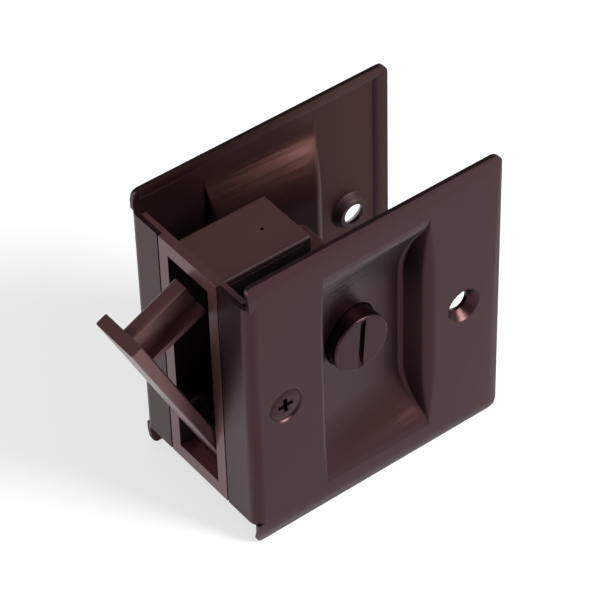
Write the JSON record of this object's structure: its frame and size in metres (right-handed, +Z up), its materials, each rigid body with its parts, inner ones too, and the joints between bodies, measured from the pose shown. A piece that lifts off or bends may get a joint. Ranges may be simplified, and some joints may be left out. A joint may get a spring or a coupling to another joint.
{
  "type": "sliding door privacy lock",
  "caption": "Pocket door privacy lock: flush side plates with finger recesses round a cast case, a swing-out T hook, a coin-slot release and a thumb turn.",
  "frame": {"origin": "on the axis of the two rear screw holes, in the middle of the door thickness", "axes": "+X back into the door away from its edge, +Y towards the thumb-turn side, +Z up along the door edge"},
  "size_m": [0.0814, 0.0425, 0.07],
  "materials": {
    "plate_bronze": "satin oil-rubbed bronze",
    "case_bronze": "satin bronze over zinc casting",
    "hook_bronze": "satin bronze over zinc casting",
    "button_bronze": "satin bronze over turned brass",
    "screw_bronze": "bronzed steel",
    "bright_steel": "zinc plated",
    "spring_steel": "tempered",
    "bush_brass": "turned"
  },
  "bodies": {
    "lock_body": {"turn_side_plate": "plate_bronze", "release_side_plate": "plate_bronze", "lock_case": "case_bronze", "case_cover": "case_bronze", "cover_screw_top": "bright_steel", "cover_screw_bottom": "bright_steel", "cover_screw_rear": "bright_steel", "turn_plate_screw": "screw_bronze", "release_plate_screw": "screw_bronze", "hook_pivot_pin": "bright_steel", "pivot_pin_clip": "spring_steel", "thumb_turn_washer": "spring_steel", "release_turn_washer": "spring_steel"},
    "turn": {"release_turn": "button_bronze", "thumb_turn": "button_bronze", "turn_spindle": "bright_steel", "turn_crank": "bright_steel", "crank_pin": "bright_steel", "spindle_bush": "bush_brass"},
    "hook": {"hook_bolt": "hook_bronze"}
  },
  "joints": [
    {"name": "turn_hinge", "type": "hinge", "parent": "lock_body", "child": "turn", "pos_m": [-0.0264, 0, 0.0056], "axis": [0, -1, 0], "range_deg": [0, 90]},
    {"name": "hook_hinge", "type": "hinge", "parent": "lock_body", "child": "hook", "pos_m": [-0.0482, 0, -0.0168], "axis": [0, 1, 0], "range_deg": [0, 25.5]}
  ],
  "couplings": [
    {"joint": "hook_hinge", "follows": "turn_hinge", "ratio": 0.28333}
  ]
}
